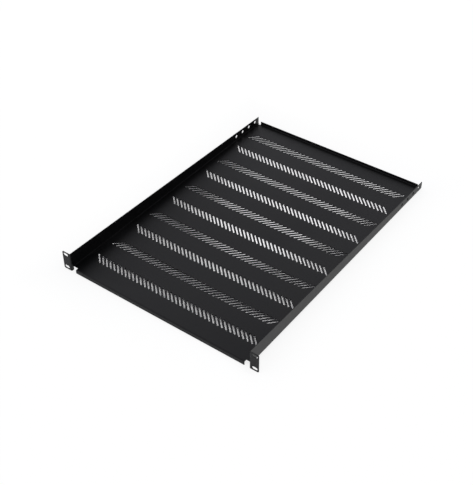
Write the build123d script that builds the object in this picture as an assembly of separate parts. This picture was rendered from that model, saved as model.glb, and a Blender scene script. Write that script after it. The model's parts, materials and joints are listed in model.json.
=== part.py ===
from build123d import *
import math
import os

# A fixed shelf, one unit high, for a 19-inch rack. One sheet of steel is punched and folded:
# the floor carries ten rows of slanted vent slots, the long sides fold up into tapering walls,
# the front edge folds down, the rear edge folds up, and each wall's front end folds outwards
# into an ear that screws to the rack.
# X runs across the rack, Y runs from the front to the rear, Z is up. The origin lies on the
# plane of the ears' lower edges, midway between left and right and between front and rear.

# The sheet and its folds
sheet = 1.5
bend_inside_radius = 1.0

# The tray, measured over its outer faces
body_width = 444.0
depth = 650.0
floor_top = 9.0             # the floor's upper face above the ears' lower edges
rear_wall_rise = 17.0       # a side wall above the floor, at its low rear end
rear_lip_rise = 7.0         # the rear lip above the floor

# The notches that let the corners fold, each measured in from the body's outer faces
front_notch_width = 13.0
front_notch_depth = 7.0
rear_notch_width = 9.0
rear_notch_depth = 4.0

# The ears, and the level slots that take the rack's screws
ear_width = 19.3
ear_height = 44.0
ear_corner_radius = 3.0
screw_slot_length = 12.0
screw_slot_height = 6.8
screw_slot_side_inset = 8.75    # from the ear's outer edge to the slot's centre
screw_slot_end_inset = 6.125    # from the ear's upper or lower edge to the slot's centre

# The vent slots: rows that lean one way and the other in turn
vent_length = 28.0
vent_width = 3.0
vent_slant = 45.0
vent_pitch = 10.0
vent_side_margin = 22.0
row_pitch = 60.0
row_end_margin = 25.0
vent_end_flats = 2          # flats that stand for each slot's half-round end

# The round holes near the rear end of each side wall
side_hole_diameter = 7.0
side_hole_count = 4
side_hole_pitch = 25.0
side_hole_rear_inset = 15.0
side_hole_top_inset = 7.0   # below the wall's upper corner at the rear

# Places worked out from the sizes above
bend_outside_radius = bend_inside_radius + sheet
floor_underside = floor_top - sheet
front_y = -depth / 2
rear_y = depth / 2
wall_outside_x = body_width / 2
wall_inside_x = wall_outside_x - sheet
floor_edge_x = wall_outside_x - bend_outside_radius
rear_wall_top = floor_top + rear_wall_rise


def flange(start, height, length):
    """A fold and its straight flange, from the fold's first line to the flange's free edge.

    The start plane's x axis points out of the flat sheet towards the fold, its y axis points the
    way the flange goes, and its z axis runs along the fold. The height is measured from the
    sheet's outer face, the one on the outside of the fold.
    """
    outer_arc = CenterArc((0, bend_outside_radius), bend_outside_radius, 270, 90)
    outer_line = Line((bend_outside_radius, bend_outside_radius), (bend_outside_radius, height))
    free_edge = Line((bend_outside_radius, height), (bend_inside_radius, height))
    inner_line = Line((bend_inside_radius, height), (bend_inside_radius, bend_outside_radius))
    inner_arc = CenterArc((0, bend_outside_radius), bend_inside_radius, 270, 90)
    first_line = Line((0, sheet), (0, 0))
    profile = make_face([outer_arc, outer_line, free_edge, inner_line, inner_arc, first_line])
    return extrude(start * profile, amount=length, dir=start.z_dir)


def front_lip():
    """The front edge folded down, level with the ears' front faces and lower edges."""
    length = body_width - 2 * front_notch_width
    corner = (-length / 2, front_y + bend_outside_radius, floor_top)
    return flange(Plane(corner, x_dir=(0, -1, 0), z_dir=(1, 0, 0)), floor_top, length)


def rear_lip():
    """The rear edge folded up into a low stop."""
    length = body_width - 2 * rear_notch_width
    corner = (-length / 2, rear_y - bend_outside_radius, floor_underside)
    return flange(Plane(corner, x_dir=(0, 1, 0), z_dir=(1, 0, 0)), rear_lip_rise + sheet, length)


def vent_outline():
    """Corners of one vent slot that lies along X, with flats in place of its round ends."""
    corners = []
    for side in (1, -1):
        centre_x = side * (vent_length - vent_width) / 2
        for step in range(vent_end_flats + 1):
            turn = math.pi * (step / vent_end_flats - 0.5)
            x = centre_x + side * vent_width / 2 * math.cos(turn)
            y = side * vent_width / 2 * math.sin(turn)
            corners.append((x, y))
    return corners


def vent_places():
    """Centre and slant of every vent slot, row by row from the front."""
    vents_per_row = round((body_width - 2 * vent_side_margin) // vent_pitch)
    rows = round((depth - 2 * row_end_margin) // row_pitch)
    places = []
    for row in range(rows):
        y = (row - (rows - 1) / 2) * row_pitch
        slant = -vent_slant if row % 2 == 0 else vent_slant
        for column in range(vents_per_row):
            x = (column - (vents_per_row - 1) / 2) * vent_pitch
            places.append(Location((x, y, 0), (0, 0, slant)))
    return places


def floor_plate():
    """The flat floor between the folds, with its corner notches and vent slots."""
    front_flat_y = front_y + bend_outside_radius
    front_notch_y = front_y + front_notch_depth
    rear_notch_y = rear_y - rear_notch_depth
    rear_flat_y = rear_y - bend_outside_radius
    front_notch_x = wall_outside_x - front_notch_width
    rear_notch_x = wall_outside_x - rear_notch_width
    right_half = [
        (front_notch_x, front_flat_y),
        (front_notch_x, front_notch_y),
        (floor_edge_x, front_notch_y),
        (floor_edge_x, rear_notch_y),
        (rear_notch_x, rear_notch_y),
        (rear_notch_x, rear_flat_y),
    ]
    left_half = [(-x, y) for x, y in reversed(right_half)]
    outline = Wire.make_polygon(right_half + left_half)
    vent = Wire.make_polygon(vent_outline())
    vents = [vent.moved(place) for place in vent_places()]
    face = Face(outline, vents)
    return extrude(face.moved(Location((0, 0, floor_underside))), amount=sheet, dir=(0, 0, 1))


def side_holes():
    """Cutters for the row of round holes near the rear end of the right wall."""
    cutters = []
    for number in range(side_hole_count):
        y = rear_y - side_hole_rear_inset - number * side_hole_pitch
        centre = (wall_outside_x, y, rear_wall_top - side_hole_top_inset)
        cutters.append(Location(centre, (0, 90, 0)) * Cylinder(side_hole_diameter / 2, 4 * sheet))
    return cutters


def side_wall():
    """The right wall: full height at the front end, then tapering to the rear."""
    length = depth - front_notch_depth
    corner = (floor_edge_x, rear_y, floor_underside)
    start = Plane(corner, x_dir=(1, 0, 0), z_dir=(0, -1, 0))
    wall = flange(start, ear_height - floor_underside, length)
    bend_end_y = front_y + bend_outside_radius
    front_strip = Plane.YZ.offset(wall_inside_x) * Polygon(
        (bend_end_y, 0),
        (front_y + front_notch_depth, 0),
        (front_y + front_notch_depth, ear_height),
        (bend_end_y, ear_height),
        align=None,
    )
    wall += extrude(front_strip, amount=sheet)
    above_taper = Plane.YZ.offset(floor_edge_x) * Polygon(
        (bend_end_y, ear_height),
        (rear_y, rear_wall_top),
        (rear_y, ear_height),
        align=None,
    )
    wall -= extrude(above_taper, amount=2 * bend_outside_radius)
    return wall - side_holes()


def ear():
    """The right ear, folded outwards from the front end of the right wall."""
    corner = (wall_inside_x, front_y + bend_outside_radius, 0)
    start = Plane(corner, x_dir=(0, -1, 0), z_dir=(0, 0, 1))
    plate = flange(start, ear_width + sheet, ear_height)
    outer_corners = plate.edges().filter_by(Axis.Y).group_by(Axis.X)[-1]
    plate = fillet(outer_corners, ear_corner_radius)
    slot_x = wall_outside_x + ear_width - screw_slot_side_inset
    for slot_z in (screw_slot_end_inset, ear_height - screw_slot_end_inset):
        outline = SlotOverall(screw_slot_length, screw_slot_height)
        face_plane = Plane((slot_x, front_y - sheet, slot_z), x_dir=(1, 0, 0), z_dir=(0, -1, 0))
        plate -= extrude(face_plane * outline, amount=4 * sheet, dir=(0, 1, 0))
    return plate


def shelf():
    """The whole folded sheet."""
    right_side = side_wall() + ear()
    left_side = mirror(right_side, about=Plane.YZ)
    return floor_plate() + [front_lip(), rear_lip(), right_side, left_side]


os.makedirs("parts", exist_ok=True)
export_step(shelf(), "parts/shelf_tray.step")
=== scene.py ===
# %% [markdown]
# # A vented shelf for a server rack
# The real shelf is one sheet of 1.5 mm steel: punched flat, folded, and powder coated black.
# This lesson makes it in the same order. A flat blank is drawn, its vents are punched with
# Geometry Nodes, the blank is folded along its bend lines, and the coat goes on last.
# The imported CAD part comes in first, as the frame that fixes every size and place.

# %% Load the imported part
import json
import math

import bmesh
import bpy
import numpy as np
from mathutils import Matrix, Vector


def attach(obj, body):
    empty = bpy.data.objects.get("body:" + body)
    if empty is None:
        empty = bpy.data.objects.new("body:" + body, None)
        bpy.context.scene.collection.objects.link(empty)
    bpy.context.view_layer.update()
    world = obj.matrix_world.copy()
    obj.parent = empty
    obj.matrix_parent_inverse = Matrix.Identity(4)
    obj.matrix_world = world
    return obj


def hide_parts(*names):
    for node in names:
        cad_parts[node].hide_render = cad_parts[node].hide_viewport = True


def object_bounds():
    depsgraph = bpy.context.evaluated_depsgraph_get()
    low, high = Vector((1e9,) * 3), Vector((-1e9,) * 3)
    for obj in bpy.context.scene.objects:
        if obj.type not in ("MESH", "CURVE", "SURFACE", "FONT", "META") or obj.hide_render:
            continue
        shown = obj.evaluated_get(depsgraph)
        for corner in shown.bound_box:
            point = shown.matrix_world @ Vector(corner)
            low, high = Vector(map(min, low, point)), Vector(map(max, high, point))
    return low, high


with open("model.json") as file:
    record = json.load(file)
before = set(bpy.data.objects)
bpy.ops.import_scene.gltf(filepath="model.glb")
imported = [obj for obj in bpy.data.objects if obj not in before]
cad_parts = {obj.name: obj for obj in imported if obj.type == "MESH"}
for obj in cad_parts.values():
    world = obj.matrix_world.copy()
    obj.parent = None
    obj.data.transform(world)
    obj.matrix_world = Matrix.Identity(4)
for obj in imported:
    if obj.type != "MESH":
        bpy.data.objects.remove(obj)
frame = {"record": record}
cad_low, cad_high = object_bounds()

print("CAD box in metres:", tuple(cad_low), tuple(cad_high))

# %% [markdown]
# ## Sizes
# Blender counts in metres and the workshop in millimetres, so one factor joins them. The box
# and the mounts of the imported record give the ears, the holes and the floor. Only what they
# leave out, such as the sheet, the notches and the vents, is named here.

# %% Sizes of the sheet
MM = 0.001
mounts = {mount["name"]: mount for mount in frame["record"]["mounts"]}
depth = cad_high.y - cad_low.y
ear_height = cad_high.z - cad_low.z
ear_span = cad_high.x - cad_low.x
floor_top = mounts["load_floor"]["pos_m"][2]
wall_x = mounts["right_rear_inner_holes"]["pos_m"][0]

sheet = 1.5 * MM
bend_inside = 1.0 * MM
bend_middle = bend_inside + sheet / 2
bend_outside = bend_inside + sheet
bend_run = bend_middle * math.pi / 2      # flat length that one right-angle bend uses up
floor_under = floor_top - sheet

rear_wall_rise = 17 * MM                  # height of the walls over the floor, at the rear
rear_lip_rise = 7 * MM                    # height of the rear lip over the floor
front_notch_width = 13 * MM
front_notch_depth = 7 * MM
rear_notch_width = 9 * MM
rear_notch_depth = 4 * MM
relief_slit = 0.3 * MM                    # the saw-thin cut that frees the foot of each ear
ear_corner_radius = 3 * MM

print("flat length of a bend:", round(bend_run / MM, 3), "mm")

# %% Sizes of the vents
vent_length = 28 * MM
vent_width = 3 * MM
vent_slant = math.radians(45)             # from straight across; its side changes by row
vent_pitch = 10 * MM
row_pitch = 60 * MM
vents_per_row = 40
vent_rows = 10
edge_round = 0.25 * MM                    # how far the coat rounds every cut edge

print(vents_per_row * vent_rows, "vents")

# %% [markdown]
# ## The flat blank
# A folded part is easiest to draw before it is folded, and a sheet-metal shop draws it so too.
# Distances along a wall or an ear lie flat beyond the fold, and each bend takes up the length
# of its middle line. The right half of the outline is listed from the front lip round to the
# rear lip, and the left half is its mirror image, so both sides stay alike.

# %% Fold lines and edges of the blank
fold_x = wall_x - bend_outside            # where the side bends start
fold_front = -depth / 2 + bend_outside    # where the front bend starts, and the ears'
fold_rear = depth / 2 - bend_outside
wall_start = fold_x + bend_run            # where a wall is flat again, in the blank
wall_start_height = floor_under + bend_outside
notch_front = -depth / 2 + front_notch_depth
notch_rear = depth / 2 - rear_notch_depth
front_lip_x = wall_x - front_notch_width
rear_lip_x = wall_x - rear_notch_width
front_lip_edge = fold_front - bend_run - (floor_top - bend_outside)
rear_lip_edge = fold_rear + bend_run + (rear_lip_rise + sheet - bend_outside)
ear_edge = fold_front - bend_run - (ear_span / 2 - wall_x - bend_inside)


def wall_point(height):
    """How far out in the blank a height on the folded wall lies."""
    return wall_start + height - wall_start_height


foot_x = wall_point(0)
top_x = wall_point(ear_height)
flat_size = (2 * top_x, rear_lip_edge - ear_edge)
print("flat blank:", [round(size / MM, 1) for size in flat_size], "mm")

# %% Outline of the blank
corner_steps = 6


def corner_arc(x, start):
    """An ear's rounded corner, a quarter turn from the start angle in degrees."""
    centre_y = ear_edge + ear_corner_radius
    angles = [math.radians(start + 90 * i / corner_steps) for i in range(corner_steps + 1)]
    return [(x + ear_corner_radius * math.cos(a), centre_y + ear_corner_radius * math.sin(a))
            for a in angles]


right_half = [
    (front_lip_x, front_lip_edge),
    (front_lip_x, notch_front),
    (wall_start, notch_front),
    (wall_start, notch_front - relief_slit),
    (foot_x, notch_front - relief_slit),
    *corner_arc(foot_x + ear_corner_radius, 180),
    *corner_arc(top_x - ear_corner_radius, 270),
    (top_x, fold_front),
    (wall_point(floor_top + rear_wall_rise), depth / 2),
    (fold_x, depth / 2),
    (fold_x, notch_rear),
    (rear_lip_x, notch_rear),
    (rear_lip_x, rear_lip_edge),
]
blank_outline = right_half + [(-x, y) for x, y in reversed(right_half)]
print("outline of", len(blank_outline), "points")

# %% [markdown]
# ## Screw slots and side holes
# The four level slots take the rack's screws, and the round holes take a rear bracket. Their
# places come from the record's mounts and are carried over into the blank, where a hole's
# height above the foot becomes its distance beyond the fold. A round hole is a slot whose
# length equals its width, so one function draws both.

# %% Slots and holes in the blank
arc_steps = 32                            # points on the rounded ends of one slot, together


def slot_loop(centre, along, across):
    """A slot with half-round ends, drawn clockwise; along and across are its full sizes."""
    radius = min(along, across) / 2
    reach_x, reach_y = along / 2 - radius, across / 2 - radius
    points = []
    for i in range(arc_steps):
        angle = -2 * math.pi * (i + 0.5) / arc_steps
        x, y = math.cos(angle), math.sin(angle)
        points.append((centre[0] + radius * x + math.copysign(reach_x, x),
                       centre[1] + radius * y + math.copysign(reach_y, y)))
    return points


screws = mounts["rack_screws"]
screw_sizes = screws["dims"]
screw_width = 2 * screw_sizes["hole_r_mm"] * MM
screw_length = screw_sizes["slot_length_mm"] * MM
screw_out = screw_sizes["spacing_x_mm"] * MM / 2 - wall_x - bend_inside
screw_y = fold_front - bend_run - screw_out
holes = []
for side in (1, -1):
    for end in (1, -1):
        height = screws["pos_m"][2] + end * screw_sizes["spacing_y_mm"] * MM / 2
        holes.append(slot_loop((side * wall_point(height), screw_y), screw_width, screw_length))
    for name in ("right_rear_outer_holes", "right_rear_inner_holes"):
        x, y, height = mounts[name]["pos_m"]
        width = 2 * mounts[name]["dims"]["hole_r_mm"] * MM
        for end in (1, -1):
            centre_y = y + end * mounts[name]["dims"]["spacing_x_mm"] * MM / 2
            holes.append(slot_loop((side * wall_point(height), centre_y), width, width))
print(len(holes), "screw slots and side holes")

# %% Draw the loops as a curve


def loops_to_curve(name, loops):
    """Closed straight-edged loops in the plane, as one curve object."""
    curve = bpy.data.curves.new(name, "CURVE")
    curve.dimensions = "2D"
    curve.fill_mode = "NONE"
    for loop in loops:
        spline = curve.splines.new("POLY")
        spline.points.add(len(loop) - 1)
        for point, (x, y) in zip(spline.points, loop):
            point.co = (x, y, 0, 1)
        spline.use_cyclic_u = True
    item = bpy.data.objects.new(name, curve)
    bpy.context.scene.collection.objects.link(item)
    return item


drawing = loops_to_curve("blank_drawing", [blank_outline] + holes)
print(len(drawing.data.splines), "loops drawn")

# %% [markdown]
# ## Punching the vents with Geometry Nodes
# Four hundred equal slots in a herringbone could be placed by a loop, but they are a job for a
# node tree: one slot, a grid of points, and a slant that changes side with each row, all with
# named sizes. The tree joins the slots to the drawn loops, fills what lies between them for
# the two faces of the sheet, and sweeps a rounded section along every loop for the cut walls.

# %% A helper that adds one node


def add_node(tree, kind, settings=None, **links):
    """Adds a node. Settings are its properties; links are its inputs, by name or as i0, i1."""
    node = tree.nodes.new(kind)
    for key, value in (settings or {}).items():
        setattr(node, key, value)
    for key, value in links.items():
        by_number = key[0] == "i" and key[1:].isdigit()
        socket = node.inputs[int(key[1:]) if by_number else key.replace("_", " ")]
        if isinstance(value, bpy.types.NodeSocket):
            tree.links.new(value, socket)
        else:
            socket.default_value = value
    return node


def maths(tree, operation, *values):
    """The result of one Math node, for a formula written out in nodes."""
    links = {f"i{number}": value for number, value in enumerate(values)}
    return add_node(tree, "ShaderNodeMath", {"operation": operation}, **links).outputs[0]


# %% The punching tree and its inputs
powder_coat = bpy.data.materials.new("black_powder_coat")
punch = bpy.data.node_groups.new("punch_the_blank", "GeometryNodeTree")
tree_inputs = {
    "Drawing": ("NodeSocketObject", drawing),
    "Vent Length": ("NodeSocketFloat", vent_length),
    "Vent Width": ("NodeSocketFloat", vent_width),
    "Vent Slant": ("NodeSocketFloat", vent_slant),
    "Vent Pitch": ("NodeSocketFloat", vent_pitch),
    "Row Pitch": ("NodeSocketFloat", row_pitch),
    "Vents per Row": ("NodeSocketInt", vents_per_row),
    "Rows": ("NodeSocketInt", vent_rows),
    "Sheet": ("NodeSocketFloat", sheet),
    "Edge Round": ("NodeSocketFloat", edge_round),
    "Coat": ("NodeSocketMaterial", powder_coat),
}
identifiers = {}
for name, (kind, value) in tree_inputs.items():
    socket = punch.interface.new_socket(name, in_out="INPUT", socket_type=kind)
    identifiers[name] = socket.identifier
punch.interface.new_socket("Blank", in_out="OUTPUT", socket_type="NodeSocketGeometry")
given = punch.nodes.new("NodeGroupInput").outputs
print("inputs:", list(tree_inputs))

# %% [markdown]
# ### One vent
# A vent has straight sides and half-round ends. A curve circle has the right kind of outline,
# so each of its points is sent to a new place that follows from its index: the first half of
# the points make the right end, the other half the left end. A limit half a step past the
# last point of the right end parts the two halves safely.

# %% One vent slot, from the index of each of its points
end_steps = 8
half_turn = math.pi
circle = add_node(punch, "GeometryNodeCurvePrimitiveCircle", Resolution=2 * (end_steps + 1))
index = add_node(punch, "GeometryNodeInputIndex").outputs[0]
last_on_right = end_steps + 0.5
on_left = maths(punch, "GREATER_THAN", index, last_on_right)
step = maths(punch, "SUBTRACT", index, maths(punch, "MULTIPLY", on_left, end_steps + 1))
swept = maths(punch, "MULTIPLY_ADD", step, half_turn / end_steps,
              maths(punch, "MULTIPLY", on_left, half_turn))
angle = maths(punch, "SUBTRACT", half_turn / 2, swept)
radius = maths(punch, "MULTIPLY", given["Vent Width"], 0.5)
straight = maths(punch, "SUBTRACT", given["Vent Length"], given["Vent Width"])
which_end = maths(punch, "SUBTRACT", 0.5, on_left)
vent_x = maths(punch, "MULTIPLY_ADD", radius, maths(punch, "COSINE", angle),
               maths(punch, "MULTIPLY", straight, which_end))
vent_y = maths(punch, "MULTIPLY", radius, maths(punch, "SINE", angle))
vent_place = add_node(punch, "ShaderNodeCombineXYZ", X=vent_x, Y=vent_y)
vent = add_node(punch, "GeometryNodeSetPosition", Geometry=circle.outputs["Curve"],
                Position=vent_place.outputs[0])
print("points on one vent:", 2 * (end_steps + 1))

# %% [markdown]
# ### The herringbone
# A grid of points carries one vent each. A point's row number, odd or even, gives its lean.
# The vents are realised here, because the fill that follows needs real curves.

# %% A herringbone of vents
row_width = maths(punch, "MULTIPLY", given["Vent Pitch"],
                  maths(punch, "SUBTRACT", given["Vents per Row"], 1.0))
rows_depth = maths(punch, "MULTIPLY", given["Row Pitch"],
                   maths(punch, "SUBTRACT", given["Rows"], 1.0))
grid = add_node(punch, "GeometryNodeMeshGrid", Size_X=row_width, Size_Y=rows_depth,
                Vertices_X=given["Vents per Row"], Vertices_Y=given["Rows"])
place = add_node(punch, "GeometryNodeInputPosition").outputs[0]
place_y = add_node(punch, "ShaderNodeSeparateXYZ", i0=place).outputs["Y"]
from_first = maths(punch, "MULTIPLY_ADD", rows_depth, 0.5, place_y)
row = maths(punch, "ROUND", maths(punch, "DIVIDE", from_first, given["Row Pitch"]))
odd_row = maths(punch, "MODULO", row, 2.0)
lean = maths(punch, "MULTIPLY_ADD", odd_row, 2.0, -1.0)
turn = add_node(punch, "ShaderNodeCombineXYZ",
                Z=maths(punch, "MULTIPLY", lean, given["Vent Slant"]))
vents = add_node(punch, "GeometryNodeInstanceOnPoints", Points=grid.outputs["Mesh"],
                 Instance=vent.outputs[0], Rotation=turn.outputs[0])
loose_vents = add_node(punch, "GeometryNodeRealizeInstances", Geometry=vents.outputs[0])
print("grid:", vents_per_row, "by", vent_rows)

# %% [markdown]
# ### Faces and cut walls
# Every loop is drawn so that the steel lies on the same side of it. The two faces stop a
# little short of the loops, and a four-point section swept along them adds the cut wall with
# its two rounded edges. Welding the doubled points then makes one closed skin.

# %% The two faces of the sheet
drawn = add_node(punch, "GeometryNodeObjectInfo", Object=given["Drawing"])
loops = add_node(punch, "GeometryNodeJoinGeometry")
punch.links.new(drawn.outputs["Geometry"], loops.inputs[0])
punch.links.new(loose_vents.outputs[0], loops.inputs[0])
up = add_node(punch, "ShaderNodeCombineXYZ", Z=1.0).outputs[0]
tangent = add_node(punch, "GeometryNodeInputTangent").outputs[0]
into_steel = add_node(punch, "ShaderNodeVectorMath", {"operation": "CROSS_PRODUCT"},
                      i0=up, i1=tangent)
pulled_back = add_node(punch, "ShaderNodeVectorMath", {"operation": "SCALE"},
                       i0=into_steel.outputs[0], Scale=given["Edge Round"])
face_loops = add_node(punch, "GeometryNodeSetPosition", Geometry=loops.outputs[0],
                      Offset=pulled_back.outputs[0])
face = add_node(punch, "GeometryNodeFillCurve", Curve=face_loops.outputs[0])
lift = add_node(punch, "ShaderNodeCombineXYZ", Z=given["Sheet"])
upper_face = add_node(punch, "GeometryNodeTransform", Geometry=face.outputs[0],
                      Translation=lift.outputs[0])
under_face = add_node(punch, "GeometryNodeFlipFaces", Mesh=face.outputs[0])

# %% The rounded section of a cut edge
section_count = 4                         # upper face, top of the wall, its foot, under face
section_middle = (section_count - 1) / 2
section_points = add_node(punch, "GeometryNodeMeshLine", Count=section_count)
from_middle = maths(punch, "ABSOLUTE", maths(punch, "SUBTRACT", index, section_middle))
at_face = maths(punch, "GREATER_THAN", from_middle, 1.0)
is_upper = maths(punch, "LESS_THAN", index, section_middle)
inward = maths(punch, "MULTIPLY", at_face, given["Edge Round"])
below_face = maths(punch, "SUBTRACT", given["Edge Round"], inward)
upper_rise = maths(punch, "SUBTRACT", given["Sheet"], below_face)
rise = add_node(punch, "ShaderNodeMix", i0=is_upper, i2=below_face, i3=upper_rise).outputs[0]
section_place = add_node(punch, "ShaderNodeCombineXYZ", X=maths(punch, "MULTIPLY", inward, -1.0),
                         Y=maths(punch, "MULTIPLY", rise, -1.0))
section_line = add_node(punch, "GeometryNodeSetPosition", Geometry=section_points.outputs[0],
                        Position=section_place.outputs[0])
section = add_node(punch, "GeometryNodeMeshToCurve", Mesh=section_line.outputs[0])
upright = add_node(punch, "GeometryNodeSetCurveNormal", {"mode": "Z_UP"}, Curve=loops.outputs[0])
cut_walls = add_node(punch, "GeometryNodeCurveToMesh", Curve=upright.outputs[0],
                     Profile_Curve=section.outputs[0])

# %% Weld the skin and give it its material
weld_distance = 0.002 * MM                # far under any size of the part
shell = add_node(punch, "GeometryNodeJoinGeometry")
for skin in (upper_face, under_face, cut_walls):
    punch.links.new(skin.outputs[0], shell.inputs[0])
welded = add_node(punch, "GeometryNodeMergeByDistance", Geometry=shell.outputs[0],
                  Distance=weld_distance)
real = add_node(punch, "GeometryNodeRealizeInstances", Geometry=welded.outputs[0])
coated = add_node(punch, "GeometryNodeSetMaterial", Geometry=real.outputs[0],
                  Material=given["Coat"])
add_node(punch, "NodeGroupOutput", i0=coated.outputs[0])
print(len(punch.nodes), "nodes in the punching tree")

# %% [markdown]
# ### The press
# The tree works on an empty object, the press, and takes the drawing as an input. Its result
# is turned into a plain mesh, so that the folding can move single points and so that no
# modifier is left on the finished piece.

# %% Punch the blank
press = bpy.data.objects.new("press", bpy.data.meshes.new("press"))
bpy.context.scene.collection.objects.link(press)
modifier = press.modifiers.new("punch", "NODES")
modifier.node_group = punch
for name, (_, value) in tree_inputs.items():
    modifier[identifiers[name]] = value
bpy.context.view_layer.update()
evaluated = press.evaluated_get(bpy.context.evaluated_depsgraph_get())
shelf = bpy.data.objects.new("shelf", bpy.data.meshes.new_from_object(evaluated))
shelf.data.name = "shelf"
bpy.context.scene.collection.objects.link(shelf)
for helper in (press, drawing):
    bpy.data.objects.remove(helper)
print("punched blank:", len(shelf.data.polygons), "faces")

# %% [markdown]
# ## Folding
# A bend can only curve where the mesh has edges across it, so the blank is first cut along
# fine lines over each bend. Then every point beyond a bend's first line turns about the
# bend's own axis, by the angle that its distance allows, and goes straight on after it.
# An armature or a Simple Deform would stretch the sheet; this keeps every length true.
# The front lip and the ears fold down first, the rear lip folds up, and the walls fold last.

# %% Cut fine lines across the bends
bend_cuts = 8
support = 0.8 * MM                        # a line beside each bend keeps the flat's shading flat
on_line = 0.0001 * MM


def cut_lines(mesh, axis, start, direction, reaches):
    """Cuts the faces that reach where reaches(x, y) is true, along lines over one bend."""
    over_bend = [bend_run * i / bend_cuts for i in range(bend_cuts + 1)]
    for offset in [-support, *over_bend, bend_run + support]:
        point, normal = Vector((0, 0, 0)), Vector((0, 0, 0))
        point[axis] = start + direction * offset
        normal[axis] = 1
        faces = [f for f in mesh.faces if any(reaches(*corner.co.xy) for corner in f.verts)]
        edges = {edge for f in faces for edge in f.edges}
        corners = {corner for f in faces for corner in f.verts}
        bmesh.ops.bisect_plane(mesh, geom=[*faces, *edges, *corners], dist=on_line,
                               plane_co=point, plane_no=normal)


slit_y = notch_front - relief_slit / 2
foot_inside = (front_lip_x + foot_x) / 2
mesh = bmesh.new()
mesh.from_mesh(shelf.data)
bmesh.ops.translate(mesh, vec=(0, 0, floor_under), verts=mesh.verts)
cut_lines(mesh, 1, fold_front, -1, lambda x, y: y < slit_y)
cut_lines(mesh, 1, fold_rear, 1, lambda x, y: abs(x) < rear_lip_x and y > 0)
cut_lines(mesh, 0, fold_x, 1, lambda x, y: x > foot_inside and y > slit_y)
cut_lines(mesh, 0, -fold_x, -1, lambda x, y: x < -foot_inside and y > slit_y)
mesh.to_mesh(shelf.data)
mesh.free()
print("cut blank:", len(shelf.data.polygons), "faces")

# %% Two ways to fold
bend_centre = floor_top + bend_inside


def bend_up(out, height, start):
    """Folds towards the upper face: new distance out and new height of each point."""
    turned_by = np.clip(out - start, 0, bend_run) / bend_middle
    beyond = np.maximum(out - start - bend_run, 0)
    radius = bend_centre - height
    new_out = np.minimum(out, start) + radius * np.sin(turned_by)
    return new_out, bend_centre - radius * np.cos(turned_by) + beyond


def bend_down(out, height, start):
    """Folds towards the under face: the same fold, with the sheet's two faces changed over."""
    new_out, new_height = bend_up(out, floor_top + floor_under - height, start)
    return new_out, floor_top + floor_under - new_height


# %% Fold the lips, the ears and the walls
points = np.empty(len(shelf.data.vertices) * 3)
shelf.data.vertices.foreach_get("co", points)
x, y, z = points.reshape(-1, 3).T.copy()
side, out_x, flat_y = np.sign(x), np.abs(x), y.copy()

rear_lip = (out_x < rear_lip_x + edge_round) & (y > fold_rear)
y[rear_lip], z[rear_lip] = bend_up(y[rear_lip], z[rear_lip], fold_rear)
lip_and_ears = flat_y < fold_front
forward, z[lip_and_ears] = bend_down(-y[lip_and_ears], z[lip_and_ears], -fold_front)
y[lip_and_ears] = -forward

walls = flat_y > slit_y
out_x[walls], z[walls] = bend_up(out_x[walls], z[walls], fold_x)
ears = ~walls & (out_x > foot_inside)
out_x[ears], z[ears] = (fold_x + bend_centre - z[ears],
                        bend_centre + out_x[ears] - wall_start)
print("folded height:", round(z.min() / MM, 3), "to", round(z.max() / MM, 3), "mm")

# %% [markdown]
# ## The floor's own weight
# The shelf lies on a table, in front on its ears' feet and at the rear on its folded edge,
# so seen from the shelf the table rises towards the rear. Between the folds the wide vented
# floor hangs down under its own weight, until it meets the table. The photograph shows it in
# the vents: the light in them lies lower in the middle than at the sides. A parabola across
# and a half wave along follow that, and both are zero at the folds.

# %% Bow the floor down to the table
clear = 0.1 * MM                          # left between the steel and the table
floor_bow = 4.4 * MM                      # how far it would hang with no table below it
bow_front = 0.84                          # under 1 moves the deepest place towards the front
bow_samples = 200                         # places looked at for the printed depth


def table_height(y):
    """The table's height under a place along the shelf."""
    return (y - cad_low.y) / depth * floor_under - clear


def bow(across, along):
    """How far the floor lies below its folds; zero at the folds and lips."""
    width_part = np.clip(1 - (across / fold_x) ** 2, 0, 1)
    share = np.clip((along - fold_front) / (fold_rear - fold_front), 0, 1)
    hanging = floor_bow * width_part * np.sin(math.pi * share ** bow_front)
    return np.minimum(hanging, floor_under - clear - table_height(along))


on_floor = (out_x <= fold_x) & (flat_y >= fold_front) & (flat_y <= fold_rear)
z[on_floor] -= bow(out_x[on_floor], flat_y[on_floor])
shelf.data.vertices.foreach_set("co", np.column_stack((side * out_x, y, z)).ravel())
shelf.data.update()
along_middle = np.linspace(fold_front, fold_rear, bow_samples)
print("deepest bow:", round(bow(0, along_middle).max() / MM, 2), "mm")

# %% Shade the bends smooth and the cut edges crisp
crisp_angle = math.radians(30)            # edges that turn by more than this stay crisp
for polygon in shelf.data.polygons:
    polygon.use_smooth = True
shelf.data.set_sharp_from_angle(angle=crisp_angle)
checked = bmesh.new()
checked.from_mesh(shelf.data)
open_edges = sum(1 for edge in checked.edges if len(edge.link_faces) != 2)
steel = checked.calc_volume() / MM ** 3
checked.free()
print("open edges:", open_edges, " volume:", round(steel), "cubic mm")

# %% [markdown]
# ## Black powder coat
# The finish is a polyester powder, sprayed on dry and baked to a hard skin with a fine, even
# texture. A photograph could be wrapped round the sheet, but a procedural coat has no seams
# over the folds. It is nearly black in itself, so almost all that the eye gets is its soft
# gloss: the floor shows the room, the walls' outer faces show the white table, and the floor
# beside a wall goes dark because it shows the wall.

# %% Two helpers for materials


def linear(hex_colour):
    """A linear colour from an sRGB hex value, as the renderer wants it."""
    parts = [int(hex_colour[i:i + 2], 16) / 255 for i in (1, 3, 5)]
    return [c / 12.92 if c <= 0.04045 else ((c + 0.055) / 1.055) ** 2.4 for c in parts] + [1.0]


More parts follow.
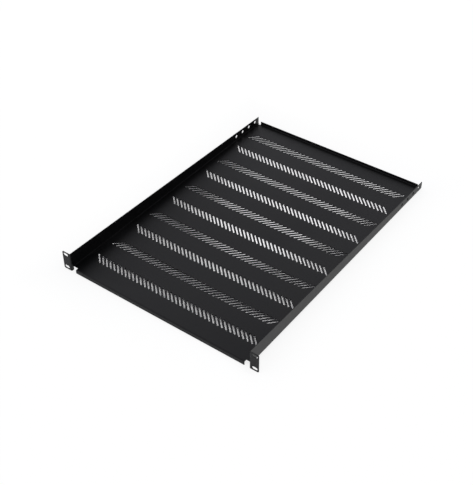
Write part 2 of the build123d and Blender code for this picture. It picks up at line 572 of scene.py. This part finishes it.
def surface(material):
    """Clears a material's tree and returns it with a new Principled shader on its output."""
    material.use_nodes = True
    tree = material.node_tree
    tree.nodes.clear()
    shader = add_node(tree, "ShaderNodeBsdfPrincipled")
    add_node(tree, "ShaderNodeOutputMaterial", Surface=shader.outputs[0])
    return tree, shader


# %% The coat: polyester powder, which gives the eye a dark skin with a soft gloss
grain_size = 0.7 * MM                     # the real grain is half this; drawn coarser to show
grain_height = 0.06 * MM
grain_strength = 0.35
patch_size = 14 * MM                      # the spray lies a little thicker in some patches
thin_coat, thick_coat = linear("#060607"), linear("#09090a")
smoothest, roughest = 0.37, 0.45
coat_ior = 1.45                           # baked polyester, which sets how much it reflects
tree, shader = surface(powder_coat)
place = add_node(tree, "ShaderNodeTexCoord").outputs["Object"]
grain = add_node(tree, "ShaderNodeTexNoise", Vector=place, Scale=1 / grain_size, Detail=2.0,
                 Roughness=0.6)
patches = add_node(tree, "ShaderNodeTexNoise", Vector=place, Scale=1 / patch_size, Detail=3.0)
tone = add_node(tree, "ShaderNodeMix", {"data_type": "RGBA"}, i0=patches.outputs["Fac"],
                i6=thin_coat, i7=thick_coat)
rough = add_node(tree, "ShaderNodeMapRange", i0=patches.outputs["Fac"], i3=smoothest,
                 i4=roughest)
bump = add_node(tree, "ShaderNodeBump", Height=grain.outputs["Fac"], Strength=grain_strength,
                Distance=grain_height)
tree.links.new(tone.outputs[2], shader.inputs["Base Color"])
tree.links.new(rough.outputs[0], shader.inputs["Roughness"])
tree.links.new(bump.outputs[0], shader.inputs["Normal"])
shader.inputs["IOR"].default_value = coat_ior
print("coat:", powder_coat.name)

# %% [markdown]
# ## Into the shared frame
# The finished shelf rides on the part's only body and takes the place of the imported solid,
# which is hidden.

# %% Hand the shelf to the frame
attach(shelf, "root")
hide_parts("shelf_tray")
print("handed over:", shelf.name)

# %% [markdown]
# ## The white table
# The shelf has to stay in its own frame, so it is the table that leans: the two then lie to
# each other as in the photograph, which sets how the light falls through the vents. The
# photograph overexposes its table. Stronger lamps would do that too, but they would wash out
# the coat, so the table's own material does it.

# %% Place the table
table_reach = 12.0                        # metres each way, past the edge of every view
table = bpy.data.objects.new("table", bpy.data.meshes.new("table"))
bpy.context.scene.collection.objects.link(table)
corners = [(x * table_reach, y * table_reach, table_height(y * table_reach))
           for x, y in ((-1, -1), (1, -1), (1, 1), (-1, 1))]
table.data.from_pydata(corners, [], [(0, 1, 2, 3)])
print("room under the floor:", round((floor_under - table_height(0)) / MM, 2), "mm")

# %% Where the table lies open
white_table = bpy.data.materials.new("white_table")
tree, shader = surface(white_table)
object_place = add_node(tree, "ShaderNodeTexCoord").outputs["Object"]
spot = add_node(tree, "ShaderNodeSeparateXYZ", i0=object_place).outputs
from_middle_x = maths(tree, "ABSOLUTE", spot["X"])
from_middle_y = maths(tree, "ABSOLUTE", spot["Y"])
beside = maths(tree, "GREATER_THAN", from_middle_x, front_lip_x)
past_vents = maths(tree, "GREATER_THAN", from_middle_y, vent_rows * row_pitch / 2)
is_open = maths(tree, "MAXIMUM", beside, past_vents)
along_walls = maths(tree, "MULTIPLY", beside,
                    maths(tree, "GREATER_THAN", spot["Y"], cad_low.y))
from_shelf = maths(tree, "MAXIMUM", maths(tree, "SUBTRACT", from_middle_x, wall_x),
                   maths(tree, "SUBTRACT", from_middle_y, depth / 2))
print("table's material:", white_table.name)

# %% [markdown]
# ### What the camera and the gloss see
# Light Path tells who looks. The camera sees the open table lifted nearly to white beside the
# shelf, with a small share of its shading left, and pure white a hand's width away. Through the
# vents it sees the table's own light and shade, only brighter. The coat's gloss sees a smaller
# lift, and only beside the walls, because the table lies in the shelf's own shade in front of
# the lip.

# %% How far the table is lifted to white
table_lift = 0.80                         # share of white without shading, beside the shelf
shading_reach = 100 * MM                  # how far from the shelf that share becomes the whole
mirrored_lift = 0.56                      # the share that the coat's gloss sees, by the walls
ray = add_node(tree, "ShaderNodeLightPath").outputs
mirrored = maths(tree, "MAXIMUM", ray["Is Glossy Ray"], ray["Is Transmission Ray"])
lift = add_node(tree, "ShaderNodeMapRange", i0=from_shelf, i1=0.0, i2=shading_reach,
                i3=table_lift, i4=1.0).outputs[0]
seen_open = maths(tree, "MULTIPLY", is_open, ray["Is Camera Ray"])
seen_glow = maths(tree, "MULTIPLY", seen_open, lift)
gloss_glow = maths(tree, "MULTIPLY", maths(tree, "MULTIPLY", along_walls, mirrored),
                   mirrored_lift)
glow = maths(tree, "ADD", seen_glow, gloss_glow)
print("lifted to white:", table_lift, "for the camera,", mirrored_lift, "for the gloss")

# %% The table's matt white paint, which gives the eye a plain bright ground
open_exposure = 1.5                       # how much brighter the camera sees the open table
vent_exposure = 2.1                       # and how much brighter in the vents
paint_colour = linear("#f4f4f4")[:3]
paint_roughness = 0.9
paint_specular = 0.1
gain = add_node(tree, "ShaderNodeMix", i0=is_open, i2=vent_exposure - 1,
                i3=open_exposure - 1).outputs[0]
exposed = maths(tree, "MULTIPLY_ADD", ray["Is Camera Ray"], gain, 1.0)
brightness = maths(tree, "MULTIPLY", exposed, maths(tree, "SUBTRACT", 1.0, glow))
paint = add_node(tree, "ShaderNodeVectorMath", {"operation": "SCALE"}, i0=paint_colour,
                 Scale=brightness)
tree.links.new(paint.outputs[0], shader.inputs["Base Color"])
tree.links.new(glow, shader.inputs["Emission Strength"])
shader.inputs["Emission Color"].default_value = (1, 1, 1, 1)
shader.inputs["Roughness"].default_value = paint_roughness
shader.inputs["Specular IOR Level"].default_value = paint_specular
table.data.materials.append(white_table)
print("staged:", table.name)

# %% [markdown]
# ## The room
# A glossy black floor shows whatever is above it. Here that is a pale room, white at the
# horizon and black overhead, brighter on the left, and a little blue. The world's
# background makes it with no walls to build, and it lights the shelf softly as well. The
# camera itself sees it plain white, so that no horizon shows above the table.

# %% The pale room
at_horizon, overhead = 0.99, 0.0          # the room's brightness low down and straight up
towards_right = -0.45                     # what is added on the right, and taken on the left
pale_blue, white = linear("#f8f8ff"), linear("#ffffff")
world = bpy.data.worlds.new("pale_room")
bpy.context.scene.world = world
world.use_nodes = True
tree = world.node_tree
tree.nodes.clear()
direction = add_node(tree, "ShaderNodeTexCoord").outputs["Generated"]
towards = add_node(tree, "ShaderNodeSeparateXYZ", i0=direction).outputs
height_share = maths(tree, "MAXIMUM", towards["Z"], 0.0)
level = maths(tree, "MULTIPLY_ADD", height_share, overhead - at_horizon, at_horizon)
level = maths(tree, "MULTIPLY_ADD", towards["X"], towards_right, level)
seen = add_node(tree, "ShaderNodeLightPath").outputs["Is Camera Ray"]
tint = add_node(tree, "ShaderNodeMix", {"data_type": "RGBA"}, i0=seen, i6=pale_blue, i7=white)
strength = add_node(tree, "ShaderNodeMix", i0=seen, i2=level, i3=1.0).outputs[0]
background = add_node(tree, "ShaderNodeBackground", Color=tint.outputs[2], Strength=strength)
add_node(tree, "ShaderNodeOutputWorld", Surface=background.outputs[0])
print("room:", world.name)

# %% [markdown]
# ## The lamp
# One large square soft lamp hangs to the right of the shelf and a little in front of it. It
# draws the lines of light on the table under the vents. A sun lamp would leave the rows that
# slant away from it dark, but the photograph has light in every vent, which tells of a lamp
# wider than it is high. Its own image is kept out of the gloss, because the photograph shows
# none.

# %% Hang the lamp
lamp_place = Vector((0.80, -0.25, 1.57))  # metres from the shelf's middle
lamp_size = 1.9
plain_level = math.pi ** 2                # watts at 1 m that show a white surface as white
lamp_share = 0.75                         # the room gives the rest of the light
lamp_data = bpy.data.lights.new("overhead", "AREA")
lamp_data.size = lamp_size
lamp_data.energy = lamp_share * plain_level * lamp_place.z ** 2
lamp = bpy.data.objects.new("overhead", lamp_data)
lamp.location = lamp_place
lamp.rotation_euler = (-lamp_place).to_track_quat("-Z", "Y").to_euler()
lamp.visible_glossy = False
bpy.context.scene.collection.objects.link(lamp)
print("lamp:", round(lamp_data.energy, 2), "W")

# %% [markdown]
# ## The camera
# The camera was fitted to the ears, folds and vents in the photograph: it looks down at forty
# degrees from the front right. It is placed by turning it about the point that it looks at.

# %% Camera
view_turn = math.radians(36.594)          # from straight ahead, towards the right
view_height = math.radians(40.537)
view_roll = math.radians(-0.299)
view_distance = 2022.98 * MM
view_aim = Vector((-21.14, -36.32, -22.83)) * MM
focal_pixels = 952.17                     # at the photograph's size
photo_long_side = 485

camera = bpy.data.objects.new("camera", bpy.data.cameras.new("camera"))
bpy.context.scene.collection.objects.link(camera)
turned = (Matrix.Rotation(view_turn, 4, "Z") @ Matrix.Rotation(math.pi / 2 - view_height, 4, "X")
          @ Matrix.Rotation(view_roll, 4, "Z"))
moved_back = Matrix.Translation((0, 0, view_distance))
camera.matrix_world = Matrix.Translation(view_aim) @ turned @ moved_back
camera.data.lens = focal_pixels * camera.data.sensor_width / photo_long_side
bpy.context.scene.camera = camera
bpy.context.scene.view_settings.view_transform = "Standard"
print("camera at", tuple(round(c, 4) for c in camera.matrix_world.translation))
